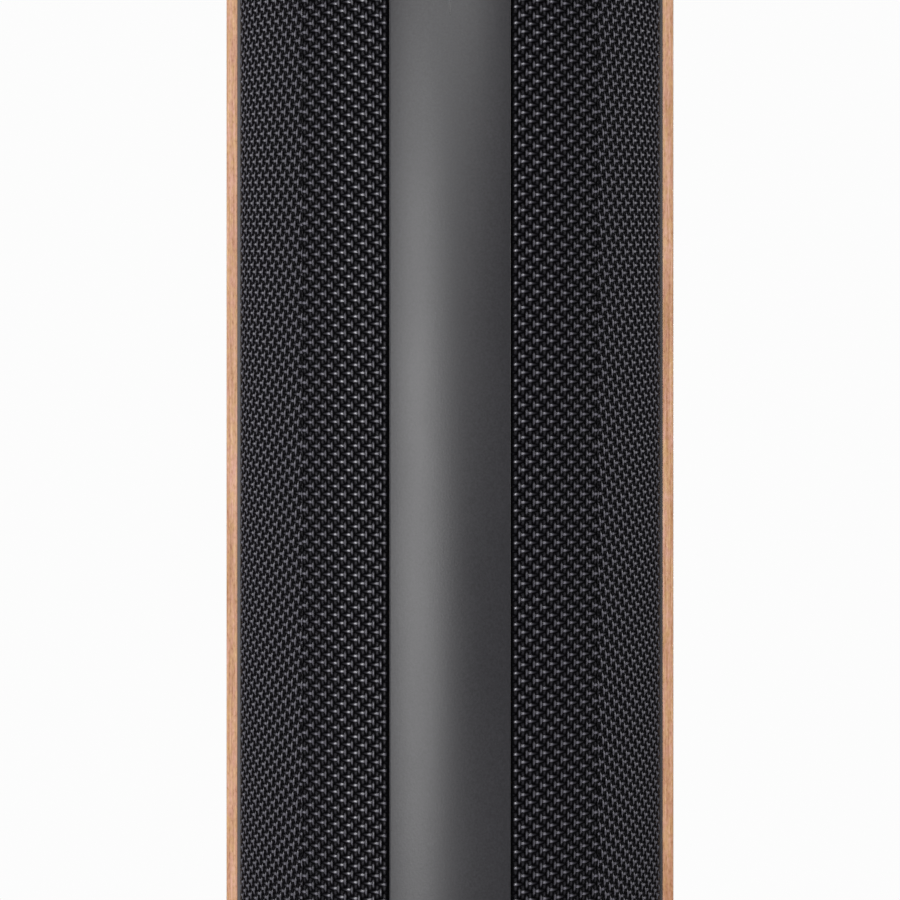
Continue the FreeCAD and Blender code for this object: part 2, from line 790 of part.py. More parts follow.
def build():
    for side in SIDES:
        save("side_panel_" + side, mirrored(side_panel(), side))
        save("inner_wall_" + side, mirrored(inner_wall(), side))
        save("baffle_" + side, mirrored(baffle(), side))
        save("edge_trim_" + side, mirrored(edge_trim(), side))
        save("grille_frame_" + side, mirrored(grille_frame(), side))
        save("grille_cloth_" + side, mirrored(grille_cloth(), side))
        save("grille_pegs_" + side, mirrored(grille_pegs(), side))
        for level, height in WOOFER_Z.items():
            pieces = {"basket": woofer_basket(), "cone": woofer_cone(), "surround": woofer_surround()}
            for piece, shape in pieces.items():
                placed = mirrored(on_facet(shape, DRIVER_SIDE, height), side)
                save("woofer_" + piece + "_" + level + "_" + side, placed)
        save("tweeter_plate_" + side, mirrored(on_facet(tweeter_plate(), DRIVER_SIDE, TWEETER_Z), side))
        save("tweeter_dome_" + side, mirrored(on_facet(tweeter_dome(), DRIVER_SIDE, TWEETER_Z), side))

    save("grille_sockets", group(grille_sockets("left") + grille_sockets("right")))
    save("driver_screws", group(driver_screws("left") + driver_screws("right")))
    spiders, magnets, yokes, motors = [], [], [], []
    for side in SIDES:
        for height in WOOFER_Z.values():
            spiders.append(mirrored(on_facet(woofer_spider(), DRIVER_SIDE, height), side))
            magnets.append(mirrored(on_facet(woofer_magnet(), DRIVER_SIDE, height), side))
            for plate in woofer_yoke():
                yokes.append(mirrored(on_facet(plate, DRIVER_SIDE, height), side))
        motors.append(mirrored(on_facet(tweeter_motor(), DRIVER_SIDE, TWEETER_Z), side))
    save("woofer_spiders", group(spiders))
    save("woofer_magnets", group(magnets))
    save("woofer_yokes", group(yokes))
    save("tweeter_motors", group(motors))

    save("spine_beam", spine_beam())
    save("spine_cover", spine_cover())
    save("status_light", status_light())
    save("top_board", cavity(CAP_Z - END_BOARD, CAP_Z))
    save("bottom_board", cavity(BASE_Z, FLOOR_Z))
    save("window_braces", window_braces())
    save("rear_panel", rear_panel())
    save("top_cap", top_cap())
    save("plinth", plinth())
    save("damping_pad", damping_pad())

    save("terminal_plate", terminal_plate())
    save("binding_post_red", pointing_back(binding_post(), POST_X, RECESS_FLOOR_Y, TERMINAL_Z))
    save("binding_post_black", pointing_back(binding_post(), -POST_X, RECESS_FLOOR_Y, TERMINAL_Z))
    save("terminal_cap_red", pointing_back(terminal_cap(), POST_X, RECESS_FLOOR_Y, TERMINAL_Z))
    save("terminal_cap_black", pointing_back(terminal_cap(), -POST_X, RECESS_FLOOR_Y, TERMINAL_Z))
    save("port_tube", port_tube())
    save("rear_screws", rear_screws())
    save("crossover_board", crossover_board())
    save("crossover_parts", crossover_parts())

    for name, (x, y) in FOOT_PLACES.items():
        one = foot()
        one.translate(point(x, y))
        save("foot_" + name, one)
    save("foot_inserts", foot_inserts())


build()
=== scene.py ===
"""Floorstanding speaker: the visible model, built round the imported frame. Metres, +Z up, front towards -Y."""

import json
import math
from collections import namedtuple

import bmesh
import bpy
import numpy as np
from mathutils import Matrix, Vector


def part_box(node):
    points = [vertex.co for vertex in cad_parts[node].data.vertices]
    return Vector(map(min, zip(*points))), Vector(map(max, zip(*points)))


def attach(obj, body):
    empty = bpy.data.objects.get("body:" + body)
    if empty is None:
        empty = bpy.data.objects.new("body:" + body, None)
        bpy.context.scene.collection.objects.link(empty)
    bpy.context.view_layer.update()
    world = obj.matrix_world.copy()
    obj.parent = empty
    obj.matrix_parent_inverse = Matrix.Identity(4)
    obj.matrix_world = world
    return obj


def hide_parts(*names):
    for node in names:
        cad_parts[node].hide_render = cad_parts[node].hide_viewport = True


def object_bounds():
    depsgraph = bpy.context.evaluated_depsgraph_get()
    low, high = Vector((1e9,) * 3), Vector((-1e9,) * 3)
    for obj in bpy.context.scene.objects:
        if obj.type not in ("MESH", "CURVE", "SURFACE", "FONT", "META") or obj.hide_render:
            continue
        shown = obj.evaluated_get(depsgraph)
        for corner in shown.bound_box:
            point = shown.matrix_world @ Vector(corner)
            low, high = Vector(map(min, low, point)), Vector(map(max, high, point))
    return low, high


bl_info = {
    "name": "Floorstanding Speaker",
    "version": (1, 0, 0),
    "blender": (4, 5, 0),
    "location": "View3D > Sidebar > Speaker",
    "description": "Builds a column speaker with a woven round front, a satin spine and bent wooden sides",
    "category": "Add Mesh",
}

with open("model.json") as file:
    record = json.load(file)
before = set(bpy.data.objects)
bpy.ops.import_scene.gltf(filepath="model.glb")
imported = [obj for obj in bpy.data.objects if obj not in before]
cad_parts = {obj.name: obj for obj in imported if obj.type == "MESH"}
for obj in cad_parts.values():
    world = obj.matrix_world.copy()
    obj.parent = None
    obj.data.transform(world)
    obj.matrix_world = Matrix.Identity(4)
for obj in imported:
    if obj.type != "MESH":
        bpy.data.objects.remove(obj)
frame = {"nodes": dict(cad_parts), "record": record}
CAD_LOW, CAD_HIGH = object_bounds()
SIDES = {"left": -1, "right": 1}
MM = 0.001


# Sizes and colours that a user would change

class SpeakerSizes(bpy.types.PropertyGroup):
    front_radius: bpy.props.FloatProperty(
        name="Front radius", description="Radius of the round front", default=0.135, unit="LENGTH"
    )
    seam_angle: bpy.props.FloatProperty(
        name="Seam angle",
        description="Where the two zones of the cloth meet, from straight ahead",
        default=math.radians(37.4),
        subtype="ANGLE",
    )
    inner_pitch: bpy.props.FloatProperty(
        name="Inner pitch", description="Yarn spacing beside the spine", default=2.195 * MM, unit="LENGTH"
    )
    outer_pitch: bpy.props.FloatProperty(
        name="Outer pitch", description="Yarn spacing beside the wood", default=1.945 * MM, unit="LENGTH"
    )
    outer_tilt: bpy.props.FloatProperty(
        name="Outer tilt",
        description="How far the outer zone's yarns are turned",
        default=math.radians(6.3),
        subtype="ANGLE",
    )
    squeeze: bpy.props.FloatProperty(
        name="Squeeze",
        description="Spacing of the upright yarns as a share of the level yarns'",
        default=0.95,
    )
    yarn_lift: bpy.props.FloatProperty(
        name="Yarn lift",
        description="How far a yarn rises and sinks in the weave",
        default=0.5 * MM,
        unit="LENGTH",
    )
    yarn_crown: bpy.props.FloatProperty(
        name="Yarn crown", description="How round a yarn is across", default=0.6 * MM, unit="LENGTH"
    )
    skin: bpy.props.FloatProperty(
        name="Wood skin", description="Thickness of the wooden side shells", default=6.5 * MM, unit="LENGTH"
    )
    corner: bpy.props.FloatProperty(
        name="Rear corner",
        description="Outer radius of the bent rear corners",
        default=40 * MM,
        unit="LENGTH",
    )
    arris: bpy.props.FloatProperty(
        name="Arris", description="Rounding of the shells' outer front edge", default=1.6 * MM, unit="LENGTH"
    )


class SpeakerColours(bpy.types.PropertyGroup):
    wood: bpy.props.FloatVectorProperty(
        name="Wood", description="Pale beech", default=(0.62, 0.328, 0.182), subtype="COLOR", min=0, max=1
    )
    spine: bpy.props.FloatVectorProperty(
        name="Spine", description="Satin dark grey", default=(0.029, 0.0282, 0.0325), subtype="COLOR",
        min=0, max=1
    )
    yarn: bpy.props.FloatVectorProperty(
        name="Yarn", description="Black coated yarn", default=(0.0022, 0.0021, 0.003), subtype="COLOR",
        min=0, max=1
    )
    # Painted highlight: this colour is added on the yarns' tops where the highlight mask says, in place of the
    # lights' glints
    yarn_highlight: bpy.props.FloatVectorProperty(
        name="Yarn highlight", description="Tops of the yarns", default=(0.2, 0.192, 0.232), subtype="COLOR",
        min=0, max=1
    )
    trim: bpy.props.FloatVectorProperty(
        name="Trim", description="Strip between wood and cloth", default=(0.068, 0.061, 0.063),
        subtype="COLOR",
        min=0, max=1
    )
    light: bpy.props.FloatVectorProperty(
        name="Status light", description="Smoked light guide", default=(0.01, 0.01, 0.012), subtype="COLOR",
        min=0, max=1
    )


def sizes():
    return bpy.context.scene.speaker_sizes


def colours():
    return bpy.context.scene.speaker_colours


# Node groups and materials

def new_group(name, inputs, outputs):
    group = bpy.data.node_groups.new(name, "ShaderNodeTree")
    for label, kind, default in inputs:
        socket = group.interface.new_socket(name=label, in_out="INPUT", socket_type=kind)
        socket.default_value = default
    for label, kind in outputs:
        group.interface.new_socket(name=label, in_out="OUTPUT", socket_type=kind)
    return group, group.nodes.new("NodeGroupInput"), group.nodes.new("NodeGroupOutput")


def math_node(tree, operation, first, second=None, clamp=False):
    node = tree.nodes.new("ShaderNodeMath")
    node.operation = operation
    node.use_clamp = clamp
    for socket, value in zip(node.inputs, (first, second)):
        if isinstance(value, (int, float)):
            socket.default_value = value
        elif value is not None:
            tree.links.new(value, socket)
    return node.outputs[0]


def stretched_noise(tree, vector, stretch, detail=3.0, rough=0.5):
    """Noise on coordinates scaled per axis, so that it runs long along the smallest scale."""
    mapping = tree.nodes.new("ShaderNodeMapping")
    mapping.inputs["Scale"].default_value = stretch
    noise = tree.nodes.new("ShaderNodeTexNoise")
    noise.inputs["Scale"].default_value = 1.0
    noise.inputs["Detail"].default_value = detail
    noise.inputs["Roughness"].default_value = rough
    tree.links.new(vector, mapping.inputs["Vector"])
    tree.links.new(mapping.outputs[0], noise.inputs["Vector"])
    return noise.outputs[0]


def ramp(tree, value, stops):
    node = tree.nodes.new("ShaderNodeValToRGB")
    tree.links.new(value, node.inputs[0])
    elements = node.color_ramp.elements
    while len(elements) < len(stops):
        elements.new(0.5)
    for element, (place, colour) in zip(elements, stops):
        element.position = place
        element.color = colour if len(colour) == 4 else (*colour, 1.0)
    return node.outputs[0]


def grain_group():
    """Moulded or lacquered surface: fine tooth, a slow drift of tone and a few specks."""
    group, start, end = new_group(
        "surface_grain",
        [
            ("Vector", "NodeSocketVector", (0, 0, 0)),
            ("Colour", "NodeSocketColor", (0.05, 0.05, 0.05, 1)),
            ("Roughness", "NodeSocketFloat", 0.4),
            ("Tooth Scale", "NodeSocketFloat", 2600.0),
            ("Speck", "NodeSocketFloat", 0.5),
            ("Mottle", "NodeSocketFloat", 0.24),
        ],
        [("Colour", "NodeSocketColor"), ("Roughness", "NodeSocketFloat"), ("Height", "NodeSocketFloat")],
    )
    tooth = group.nodes.new("ShaderNodeTexNoise")
    tooth.inputs["Detail"].default_value = 2.0
    group.links.new(start.outputs["Vector"], tooth.inputs["Vector"])
    group.links.new(start.outputs["Tooth Scale"], tooth.inputs["Scale"])
    drift = stretched_noise(group, start.outputs["Vector"], (22, 22, 9), 3.0)
    dots = group.nodes.new("ShaderNodeTexVoronoi")
    dots.inputs["Scale"].default_value = 130.0
    group.links.new(start.outputs["Vector"], dots.inputs["Vector"])
    speck = math_node(group, "LESS_THAN", dots.outputs["Distance"], 0.055)
    rare = group.nodes.new("ShaderNodeSeparateColor")
    group.links.new(dots.outputs["Color"], rare.inputs[0])
    chosen = math_node(group, "GREATER_THAN", rare.outputs[0], 0.965)
    speck = math_node(group, "MULTIPLY", math_node(group, "MULTIPLY", speck, chosen), start.outputs["Speck"])
    tone = math_node(group, "ADD", math_node(group, "MULTIPLY", drift, 0.16), 0.92)
    centred = math_node(group, "SUBTRACT", tooth.outputs[0], 0.5)
    fine = math_node(group, "ADD", math_node(group, "MULTIPLY", centred, start.outputs["Mottle"]), 1.0)
    tone = math_node(group, "MULTIPLY", tone, fine)
    tone = math_node(group, "SUBTRACT", tone, speck)
    scaled = group.nodes.new("ShaderNodeVectorMath")
    scaled.operation = "SCALE"
    group.links.new(start.outputs["Colour"], scaled.inputs[0])
    group.links.new(tone, scaled.inputs["Scale"])
    group.links.new(scaled.outputs[0], end.inputs["Colour"])
    rough = math_node(group, "ADD", math_node(group, "MULTIPLY", drift, 0.12), -0.06)
    group.links.new(math_node(group, "ADD", rough, start.outputs["Roughness"]), end.inputs["Roughness"])
    group.links.new(tooth.outputs[0], end.inputs["Height"])
    return group


def wood_group():
    """Beech: fine straight grain up the column, wide soft bands and short dark flecks."""
    group, start, end = new_group(
        "beech_figure",
        [("Vector", "NodeSocketVector", (0, 0, 0)), ("Colour", "NodeSocketColor", (0.6, 0.36, 0.22, 1))],
        [("Colour", "NodeSocketColor"), ("Roughness", "NodeSocketFloat"), ("Height", "NodeSocketFloat")],
    )
    vector = start.outputs["Vector"]
    bands = stretched_noise(group, vector, (160, 160, 9), 3.0, 0.55)
    fibre = stretched_noise(group, vector, (900, 900, 26), 3.0, 0.6)
    pores = stretched_noise(group, vector, (1250, 1250, 420), 2.0, 0.55)
    tone = math_node(group, "ADD", math_node(group, "MULTIPLY", bands, 0.55), 0.725)
    for layer, strength in ((fibre, 1.1), (pores, 0.55)):
        centred = math_node(group, "SUBTRACT", layer, 0.5)
        tone = math_node(group, "ADD", tone, math_node(group, "MULTIPLY", centred, strength))
    fleck = ramp(group, pores, [(0.30, (1, 1, 1)), (0.40, (0, 0, 0))])
    tone = math_node(group, "SUBTRACT", tone, math_node(group, "MULTIPLY", fleck, 0.12))
    shade = group.nodes.new("ShaderNodeCombineColor")
    for socket, power in zip(shade.inputs, (1.0, 1.5, 2.2)):
        group.links.new(math_node(group, "POWER", tone, power), socket)
    warmth = stretched_noise(group, vector, (300, 300, 110), 4.0, 0.75)
    tint = ramp(group, warmth, [(0.38, (1.0, 1.04, 0.86)), (0.62, (1.0, 0.94, 1.12))])
    tinted = group.nodes.new("ShaderNodeVectorMath")
    tinted.operation = "MULTIPLY"
    group.links.new(start.outputs["Colour"], tinted.inputs[0])
    group.links.new(tint, tinted.inputs[1])
    shaded = group.nodes.new("ShaderNodeVectorMath")
    shaded.operation = "MULTIPLY"
    group.links.new(tinted.outputs[0], shaded.inputs[0])
    group.links.new(shade.outputs[0], shaded.inputs[1])
    group.links.new(shaded.outputs[0], end.inputs["Colour"])
    rough = math_node(group, "ADD", math_node(group, "MULTIPLY", fibre, 0.18), 0.42)
    group.links.new(rough, end.inputs["Roughness"])
    height = math_node(group, "SUBTRACT", fibre, math_node(group, "MULTIPLY", fleck, 0.8))
    group.links.new(height, end.inputs["Height"])
    return group


def yarn_group():
    """Coated yarn: its sides and dips are darkened as painted shade, and its highlight mask adds a painted
    highlight colour and a glossy coat.
    """
    group, start, end = new_group(
        "yarn_shade_and_highlight",
        [
            ("Vector", "NodeSocketVector", (0, 0, 0)),
            ("Colour", "NodeSocketColor", (0.01, 0.01, 0.01, 1)),
            ("Highlight Colour", "NodeSocketColor", (0.1, 0.1, 0.1, 1)),
            ("Rise", "NodeSocketFloat", 0.5),
            ("Highlight Mask", "NodeSocketFloat", 0.5),
        ],
        [("Colour", "NodeSocketColor"), ("Coat Weight", "NodeSocketFloat"), ("Height", "NodeSocketFloat")],
    )
    top = ramp(group, start.outputs["Rise"], [(0.35, (0, 0, 0)), (0.95, (1, 1, 1))])
    fibre = group.nodes.new("ShaderNodeTexNoise")
    fibre.inputs["Scale"].default_value = 1500.0
    group.links.new(start.outputs["Vector"], fibre.inputs["Vector"])
    # Painted shade: the yarn's colour darkens where it is low, in its sides and dips
    tone = math_node(group, "ADD", math_node(group, "MULTIPLY", top, 0.8), 0.3)
    # Painted highlight: the mask, broken up by fibre noise, adds the highlight colour and also sets the coat's
    # weight
    highlight_breakup = math_node(group, "ADD", math_node(group, "MULTIPLY", fibre.outputs[0], 0.8), 0.6)
    narrowed = math_node(group, "POWER", start.outputs["Highlight Mask"], 2.25)
    highlight_amount = math_node(group, "MULTIPLY", narrowed, highlight_breakup, clamp=True)
    shaded_base = group.nodes.new("ShaderNodeVectorMath")
    shaded_base.operation = "SCALE"
    group.links.new(start.outputs["Colour"], shaded_base.inputs[0])
    group.links.new(tone, shaded_base.inputs["Scale"])
    bright = group.nodes.new("ShaderNodeVectorMath")
    bright.operation = "SCALE"
    group.links.new(start.outputs["Highlight Colour"], bright.inputs[0])
    group.links.new(highlight_amount, bright.inputs["Scale"])
    both = group.nodes.new("ShaderNodeVectorMath")
    group.links.new(shaded_base.outputs[0], both.inputs[0])
    group.links.new(bright.outputs[0], both.inputs[1])
    group.links.new(both.outputs[0], end.inputs["Colour"])
    group.links.new(highlight_amount, end.inputs["Coat Weight"])
    group.links.new(fibre.outputs[0], end.inputs["Height"])
    return group


def node_group(name, maker):
    return bpy.data.node_groups.get(name) or maker()


def material(name):
    """New material with its shader, its Object coordinates and a Bump that feeds the shader."""
    made = bpy.data.materials.new(name)
    made.use_nodes = True
    tree = made.node_tree
    shader = tree.nodes["Principled BSDF"]
    coordinates = tree.nodes.new("ShaderNodeTexCoord")
    bump = tree.nodes.new("ShaderNodeBump")
    tree.links.new(bump.outputs[0], shader.inputs["Normal"])
    return made, tree, shader, coordinates.outputs["Object"], bump


def grained(
    name, colour, roughness, tooth=2600.0, speck=0.0, bump_distance=0.02 * MM, metallic=0.0, coat=0.0,
    mottle=0.24, specular=0.5,
):
    made, tree, shader, vector, bump = material(name)
    grain = tree.nodes.new("ShaderNodeGroup")
    grain.node_tree = node_group("surface_grain", grain_group)
    grain.inputs["Colour"].default_value = (*colour, 1.0)
    grain.inputs["Roughness"].default_value = roughness
    grain.inputs["Tooth Scale"].default_value = tooth
    grain.inputs["Speck"].default_value = speck
    grain.inputs["Mottle"].default_value = mottle
    tree.links.new(vector, grain.inputs["Vector"])
    tree.links.new(grain.outputs["Colour"], shader.inputs["Base Color"])
    tree.links.new(grain.outputs["Roughness"], shader.inputs["Roughness"])
    tree.links.new(grain.outputs["Height"], bump.inputs["Height"])
    bump.inputs["Distance"].default_value = bump_distance
    shader.inputs["Metallic"].default_value = metallic
    shader.inputs["Specular IOR Level"].default_value = specular
    shader.inputs["Coat Weight"].default_value = coat
    return made


def beech(name, colour, bump_distance=0.03 * MM):
    made, tree, shader, vector, bump = material(name)
    figure = tree.nodes.new("ShaderNodeGroup")
    figure.node_tree = node_group("beech_figure", wood_group)
    figure.inputs["Colour"].default_value = (*colour, 1.0)
    tree.links.new(vector, figure.inputs["Vector"])
    tree.links.new(figure.outputs["Colour"], shader.inputs["Base Color"])
    tree.links.new(figure.outputs["Roughness"], shader.inputs["Roughness"])
    tree.links.new(figure.outputs["Height"], bump.inputs["Height"])
    bump.inputs["Distance"].default_value = bump_distance
    return made


def coated_yarn(name, colour, highlight_colour):
    made, tree, shader, vector, bump = material(name)
    yarn = tree.nodes.new("ShaderNodeGroup")
    yarn.node_tree = node_group("yarn_shade_and_highlight", yarn_group)
    yarn.inputs["Colour"].default_value = (*colour, 1.0)
    yarn.inputs["Highlight Colour"].default_value = (*highlight_colour, 1.0)
    # rise sets the yarn's painted shade, shine its painted highlight and coat
    for attribute, label in (("rise", "Rise"), ("highlight_mask", "Highlight Mask")):
        read = tree.nodes.new("ShaderNodeAttribute")
        read.attribute_name = attribute
        tree.links.new(read.outputs["Fac"], yarn.inputs[label])
    tree.links.new(vector, yarn.inputs["Vector"])
    tree.links.new(yarn.outputs["Colour"], shader.inputs["Base Color"])
    tree.links.new(yarn.outputs["Coat Weight"], shader.inputs["Coat Weight"])
    tree.links.new(yarn.outputs["Height"], bump.inputs["Height"])
    bump.inputs["Distance"].default_value = 0.01 * MM
    shader.inputs["Roughness"].default_value = 0.6
    shader.inputs["Specular IOR Level"].default_value = 0.03
    shader.inputs["Coat Roughness"].default_value = 0.3
    shader.inputs["Coat IOR"].default_value = 1.7
    return made


def finishes():
    """Every material by the record's slot name."""
    if "yarn" not in bpy.data.materials:
        made = {
            "wood": beech("beech", colours().wood),
            "fibreboard": grained("fibreboard", (0.32, 0.20, 0.11), 0.8, 900.0),
            "black_panel": grained(
                "black_lacquer", (0.022, 0.022, 0.024), 0.5, 1500.0, bump_distance=0.04 * MM
            ),
            "spine": grained(
                "satin_spine", colours().spine, 0.37, 850.0, 0.5, bump_distance=0.04 * MM, mottle=1.1
            ),
            "trim": grained("edge_trim", colours().trim, 0.5),
            "light_guide": grained("light_guide", colours().light, 0.15),
            "cloth": coated_yarn("yarn", colours().yarn, colours().yarn_highlight),
            # Painted shade: the scrim is a backing sheet, near-black so that the gaps between yarns read as
            # shade
            "scrim": grained("scrim", (0.0015, 0.0015, 0.002), 0.9, specular=0.05),
            "black_plastic": grained(
                "moulded_black", (0.02, 0.02, 0.021), 0.5, 1800.0, bump_distance=0.05 * MM
            ),
            "rubber": grained("rubber", (0.016, 0.016, 0.017), 0.62, 1500.0),
            "basket": grained("basket_paint", (0.03, 0.03, 0.032), 0.42, 1800.0, metallic=0.2),
            "cone": grained(
                "cone_paper", (0.035, 0.035, 0.038), 0.45, 700.0, bump_distance=0.08 * MM, coat=0.2
            ),
            "spider": grained("spider_cloth", (0.5, 0.32, 0.12), 0.8, 1200.0),
            "ferrite": grained("ferrite", (0.05, 0.05, 0.055), 0.55, 1200.0, metallic=0.4),
            "steel": grained("zinc_steel", (0.5, 0.5, 0.51), 0.32, 1500.0, metallic=1.0),
            "screw_black": grained("black_oxide", (0.04, 0.04, 0.042), 0.35, 2500.0, metallic=0.8),
            "dome": grained(
                "coated_silk", (0.03, 0.026, 0.026), 0.5, 3000.0, bump_distance=0.04 * MM
            ),
            "brass": grained("gold_plate", (0.85, 0.6, 0.22), 0.2, 2000.0, metallic=1.0),
            "cap_red": grained("cap_red", (0.42, 0.012, 0.012), 0.3),
            "cap_black": grained("cap_black", (0.02, 0.02, 0.02), 0.3),
            "pcb": grained("board_green", (0.02, 0.08, 0.04), 0.45),
            "copper": grained("copper_wire", (0.75, 0.32, 0.16), 0.35, 1800.0, metallic=1.0),
            "padding": grained("polyester_wool", (0.6, 0.6, 0.57), 0.95, 500.0),
        }
        bpy.context.scene["speaker_finishes"] = {slot: one.name for slot, one in made.items()}
    return bpy.context.scene["speaker_finishes"]


def finish_of(slot):
    return bpy.data.materials[finishes()[slot]]


# Mesh helpers

def chain(bm, x, y, z):
    return bm.verts.new((x, y, z))


def straight(bm, vert, x, y):
    """Extrudes the chain's last vertex to x, y."""
    made = bmesh.ops.extrude_vert_indiv(bm, verts=[vert])["verts"][0]
    made.co.x = x
    made.co.y = y
    return made


def bend(bm, vert, centre, angle, steps):
    """Spins the chain's last vertex round an upright axis."""
    made = bmesh.ops.spin(
        bm, geom=[vert], cent=(*centre, 0.0), axis=(0, 0, 1), dvec=(0, 0, 0), angle=angle, steps=steps,
        use_merge=False, use_normal_flip=False, use_duplicate=False,
    )
    return next(item for item in made["geom_last"] if isinstance(item, bmesh.types.BMVert))


def raise_edges(bm, top):
    """Extrudes every edge straight up to the height top."""
    made = bmesh.ops.extrude_edge_only(bm, edges=bm.edges[:])
    for item in made["geom"]:
        if isinstance(item, bmesh.types.BMVert):
            item.co.z = top


def soften(bm, edges, width, segments=3):
    bmesh.ops.bevel(
        bm, geom=edges, offset=width, offset_type="OFFSET", affect="EDGES", segments=segments, profile=0.5,
        material=-1, clamp_overlap=True,
    )


def cut_across(bm, place, axis):
    bmesh.ops.bisect_plane(
        bm, geom=bm.verts[:] + bm.edges[:] + bm.faces[:], dist=1e-6, plane_co=place, plane_no=axis
    )


def hold(bm, low, high, margins):
    """Cuts just inside the rounded edges, so that the flat faces between them stay flat in the light."""
    for k, (near, far) in enumerate(margins):
        axis = Vector((k == 0, k == 1, k == 2))
        for margin, place in ((near, low[k] + near), (far, high[k] - far)):
            if margin:
                cut_across(bm, axis * place, axis)


def sharp_edges(bm, test, angle=math.radians(30)):
    """Edges of a real corner whose both ends pass the test."""
    bm.normal_update()
    return [
        e for e in bm.edges
        if len(e.link_faces) == 2 and e.calc_face_angle(0) > angle and all(test(v.co) for v in e.verts)
    ]


def recalc(bm):
    bmesh.ops.remove_doubles(bm, verts=bm.verts[:], dist=0.01 * MM)
    bmesh.ops.recalc_face_normals(bm, faces=bm.faces[:])


def piece(name, bm, slot, body, replaced=(), sharp=35):
    """Turns a bmesh into a finished piece on its body."""
    mesh = bpy.data.meshes.new(name)
    bm.to_mesh(mesh)
    bm.free()
    return piece_of_mesh(name, mesh, slot, body, replaced, sharp)


def piece_of_mesh(name, mesh, slot, body, replaced=(), sharp=35):
    for polygon in mesh.polygons:
        polygon.use_smooth = True
    if sharp:
        mesh.set_sharp_from_angle(angle=math.radians(sharp))
    mesh.materials.append(finish_of(slot))
    made = bpy.data.objects.new(name, mesh)
    bpy.context.scene.collection.objects.link(made)
    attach(made, body)
    if replaced:
        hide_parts(*replaced)
    return made


def mirrored_mesh(mesh, name):
    """The same mesh on the other side, with its faces turned to stay outward."""
    other = mesh.copy()
    other.name = name
    other.transform(Matrix.Diagonal((-1, 1, 1, 1)))
    other.flip_normals()
    return other


def front_axis_y():
    return CAD_LOW.y + sizes().front_radius


def front_y(x, radius):
    return front_axis_y() - math.sqrt(radius * radius - x * x)


# Pieces

RIM_ROUND = 0.35 * MM       # the shells' corners other than the arris
SPINE_ROUND = 0.6 * MM
CAP_ROUND = 1.2 * MM
PLINTH_ROUND = 1.0 * MM
SPINE_WALL = 2.5 * MM
SLOT_HALF = 0.25 * MM       # half width of the status light's slot
SLOT_END = 5 * MM           # how far the light guide runs on past each end of the slot


class SPEAKER_OT_side_shells(bpy.types.Operator):
    """Two bent wooden shells with a rounded front edge."""
    bl_idname = "speaker.side_shells"
    bl_label = "Side shells"

    def execute(self, context):
        s = sizes()
        low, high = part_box("side_panel_right")
        bm = bmesh.new()
        vert = chain(bm, high.x, low.y, low.z)
        vert = straight(bm, vert, high.x, high.y - s.corner)
        vert = bend(bm, vert, (high.x - s.corner, high.y - s.corner), math.radians(90), 24)
        raise_edges(bm, high.z)
        recalc(bm)
        if bm.faces[:][0].normal.dot(Vector((1, 0, 0))) < 0:
            bmesh.ops.reverse_faces(bm, faces=bm.faces[:])
        bmesh.ops.solidify(bm, geom=bm.faces[:], thickness=s.skin)
        recalc(bm)
        shift = high.x - max(v.co.x for v in bm.verts)
        bmesh.ops.translate(bm, verts=bm.verts[:], vec=(shift, shift, 0))
        for v in bm.verts:
            if v.co.y < low.y + s.arris:
                v.co.y = low.y
        front = low.y + 0.1 * MM
        outer = sharp_edges(bm, lambda co: co.y < front and co.x > high.x - MM)
        outer = [e for e in outer if abs(e.verts[0].co.z - e.verts[1].co.z) > 0.1]
        soften(bm, outer, s.arris, 4)
        soften(bm, sharp_edges(bm, lambda co: True), RIM_ROUND, 2)
        recalc(bm)
        hold(bm, low, high, ((0, s.arris + 0.2 * MM), (s.arris + 0.4 * MM, 0), (MM, MM)))
        cut_across(bm, (high.x - s.skin + 0.6 * MM, 0, 0), (1, 0, 0))
        right = piece("wood_shell_right", bm, "wood", "cabinet", ["side_panel_right"])
        left = mirrored_mesh(right.data, "wood_shell_left")
        left.materials.clear()
        piece_of_mesh("wood_shell_left", left, "wood", "cabinet", ["side_panel_left"])
        return {"FINISHED"}


class SPEAKER_OT_spine(bpy.types.Operator):
    """Satin cover down the middle of the front, with the status light's slot."""
    bl_idname = "speaker.spine"
    bl_label = "Spine"

    def execute(self, context):
        s = sizes()
        low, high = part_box("spine_cover")
        light_low, light_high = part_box("status_light")
        half_turn = math.asin(high.x / s.front_radius)
        bm = bmesh.new()
        vert = chain(bm, low.x, high.y, low.z)
        vert = straight(bm, vert, low.x, front_y(high.x, s.front_radius))
        slot_turn = math.asin(SLOT_HALF / s.front_radius)
        for angle, steps in ((half_turn - slot_turn, 32), (2 * slot_turn, 1), (half_turn - slot_turn, 32)):
            vert = bend(bm, vert, (0, front_axis_y()), angle, steps)
        straight(bm, vert, high.x, high.y)
        raise_edges(bm, high.z)
        recalc(bm)
        slot_bottom, slot_top = light_low.z + SLOT_END, light_high.z - SLOT_END
        for height in (slot_bottom, slot_top):
            cut_across(bm, (0, 0, height), (0, 0, 1))
        gone = []
        for f in bm.faces:
            centre = f.calc_center_median()
            if abs(centre.x) < SLOT_HALF and slot_bottom < centre.z < slot_top:
                gone.append(f)
        bmesh.ops.delete(bm, geom=gone, context="FACES")
        if sum((f.normal.y for f in bm.faces)) > 0:
            bmesh.ops.reverse_faces(bm, faces=bm.faces[:])
        bmesh.ops.solidify(bm, geom=bm.faces[:], thickness=SPINE_WALL)
        recalc(bm)
        shift = low.y - min(v.co.y for v in bm.verts)
        bmesh.ops.translate(bm, verts=bm.verts[:], vec=(0, shift, 0))
        soften(bm, sharp_edges(bm, lambda co: abs(co.x) > 5 * MM), SPINE_ROUND, 3)
        recalc(bm)
        hold(bm, low, high, ((0, 0), (0, 0), (MM, MM)))
        piece("spine_shell", bm, "spine", "cabinet", ["spine_cover"], sharp=40)
        return {"FINISHED"}


